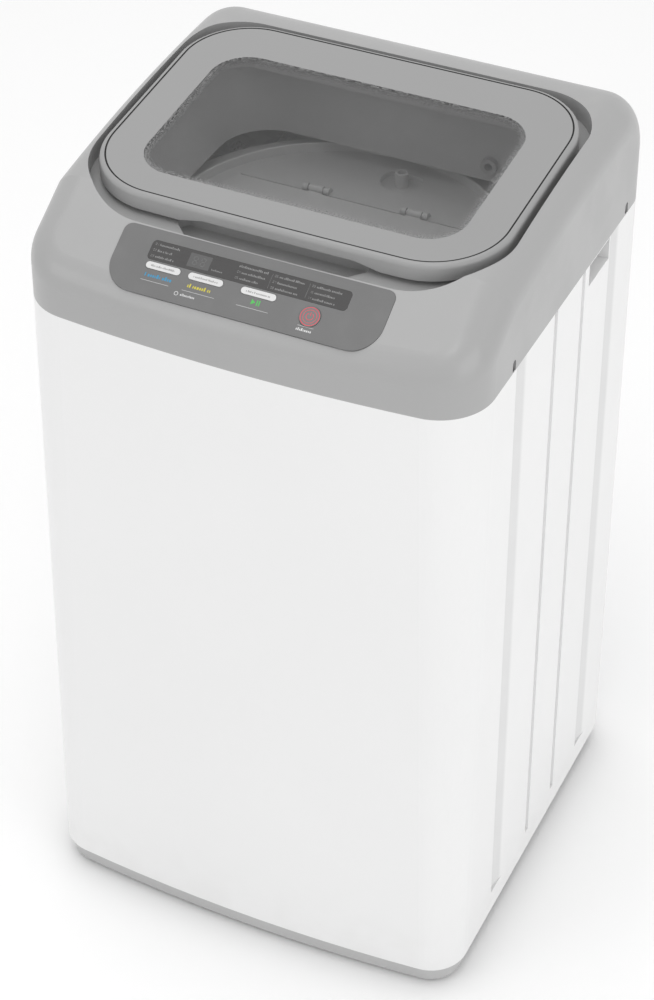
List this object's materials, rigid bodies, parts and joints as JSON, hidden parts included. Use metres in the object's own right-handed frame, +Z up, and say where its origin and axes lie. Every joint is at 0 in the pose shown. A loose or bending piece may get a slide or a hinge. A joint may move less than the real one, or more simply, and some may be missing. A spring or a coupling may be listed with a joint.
{
  "type": "portable mini washer",
  "caption": "Portable top-load mini washer: white steel cabinet, grey collar with hinged glass lid, sloped control panel, suspended tub, spinning drum and pulsator.",
  "frame": {"origin": "on the floor, under the middle of the machine's bounding box", "axes": "+Z up, -Y out of the front with the control panel, +X to the right seen from the front"},
  "size_m": [0.44, 0.436, 0.8155],
  "materials": {
    "white_steel": "satin powder coat",
    "grey_plastic": "fine grain",
    "panel_plastic": "satin",
    "plinth_plastic": "fine grain",
    "clear_glass": "polished",
    "dark_plastic": "gloss",
    "black_rubber": "matt",
    "white_plastic": "satin",
    "tub_plastic": "satin",
    "stainless": "brushed",
    "zinc_steel": "zinc plated",
    "cast_alloy": "as cast",
    "motor_steel": "semi-gloss",
    "board_green": "solder mask",
    "spring_steel": "oiled"
  },
  "bodies": {
    "cabinet": {"cabinet_wrap": "white_steel", "carry_handles": "grey_plastic", "base_tray": "plinth_plastic", "fixed_feet": "dark_plastic", "bottom_guard": "zinc_steel", "rear_panel": "zinc_steel", "rear_cover": "zinc_steel", "case_screws": "zinc_steel", "top_collar": "grey_plastic", "control_fascia": "panel_plastic", "display_window": "dark_plastic", "display_module": "dark_plastic", "control_board": "board_green", "board_housing": "white_plastic", "hinge_brackets": "grey_plastic", "lid_bumpers": "black_rubber", "lid_switch": "dark_plastic", "drain_hose": "black_rubber", "drain_elbow": "white_plastic", "suspension_brackets": "zinc_steel", "suspension_rods": "spring_steel", "suspension_springs": "spring_steel", "inlet_valve": "white_plastic", "fill_spout": "black_rubber", "pressure_sensor": "dark_plastic", "pressure_tube": "white_plastic", "motor_capacitor": "white_plastic", "cord_gland": "dark_plastic"},
    "lid": {"lid_frame": "grey_plastic", "lid_glass": "clear_glass", "glass_gasket": "black_rubber", "lid_hinge_pins": "zinc_steel", "lid_magnet": "dark_plastic"},
    "tub": {"outer_tub": "tub_plastic", "tub_cover": "tub_plastic", "drive_bracket": "zinc_steel", "clutch_housing": "cast_alloy", "shaft_bearings": "stainless", "water_seal": "black_rubber", "motor": "motor_steel", "drive_belt": "black_rubber", "drain_valve": "white_plastic", "drain_motor": "dark_plastic"},
    "inner_lid": {"inner_lid": "tub_plastic"},
    "basket": {"spin_basket": "stainless", "basket_base": "white_plastic", "basket_flange": "cast_alloy", "spin_tube": "stainless", "balance_ring": "white_plastic", "lint_filter": "white_plastic"},
    "pulsator": {"pulsator": "tub_plastic", "pulsator_screw": "zinc_steel", "pulsator_shaft": "stainless", "drive_pulley": "cast_alloy"},
    "motor_rotor": {"motor_pulley": "cast_alloy"},
    "levelling_foot": {"levelling_foot": "dark_plastic"},
    "water_level_button": {"water_level_button": "white_plastic"},
    "program_button": {"program_button": "white_plastic"},
    "start_pause_button": {"start_pause_button": "white_plastic"},
    "power_button": {"power_button": "white_plastic"}
  },
  "joints": [
    {"name": "lid_hinge", "type": "hinge", "parent": "cabinet", "child": "lid", "pos_m": [0, 0.132, 0.80622], "axis": [-1, 0, 0], "range_deg": [0, 95]},
    {"name": "tub_suspension", "type": "slide", "parent": "cabinet", "child": "tub", "axis": [0, 0, 1], "range_m": [-0.008, 0.005], "stiffness_N_per_m": 10000, "springref_m": 0.01476, "deforming": ["suspension_springs", "drain_hose", "pressure_tube"]},
    {"name": "inner_lid_hinge", "type": "hinge", "parent": "tub", "child": "inner_lid", "pos_m": [0, 0.06, 0.704], "axis": [-1, 0, 0], "range_deg": [0, 86]},
    {"name": "basket_spin", "type": "hinge", "parent": "tub", "child": "basket", "pos_m": [0, -0.014, 0.3], "axis": [0, 0, 1], "continuous": true},
    {"name": "pulsator_spin", "type": "hinge", "parent": "tub", "child": "pulsator", "pos_m": [0, -0.014, 0.3], "axis": [0, 0, 1], "continuous": true},
    {"name": "motor_spin", "type": "hinge", "parent": "tub", "child": "motor_rotor", "pos_m": [0, 0.104, 0.2], "axis": [0, 0, 1], "continuous": true},
    {"name": "levelling_foot_turn", "type": "hinge", "parent": "cabinet", "child": "levelling_foot", "pos_m": [0.165, -0.16, 0.01], "axis": [0, 0, 1], "continuous": true},
    {"name": "water_level_press", "type": "slide", "parent": "cabinet", "child": "water_level_button", "axis": [0, 0.527, -0.8499], "range_m": [0, 0.001], "stiffness_N_per_m": 400, "springref_m": -0.00004},
    {"name": "program_press", "type": "slide", "parent": "cabinet", "child": "program_button", "axis": [0, 0.527, -0.8499], "range_m": [0, 0.001], "stiffness_N_per_m": 400, "springref_m": -0.00004},
    {"name": "start_pause_press", "type": "slide", "parent": "cabinet", "child": "start_pause_button", "axis": [0, 0.527, -0.8499], "range_m": [0, 0.001], "stiffness_N_per_m": 400, "springref_m": -0.00004},
    {"name": "power_press", "type": "slide", "parent": "cabinet", "child": "power_button", "axis": [0, 0.527, -0.8499], "range_m": [0, 0.001], "stiffness_N_per_m": 400, "springref_m": -0.00005}
  ],
  "couplings": [
    {"joint": "inner_lid_hinge", "follows": "lid_hinge", "ratio": 0.9},
    {"joint": "motor_spin", "follows": "pulsator_spin", "ratio": 3.75}
  ]
}
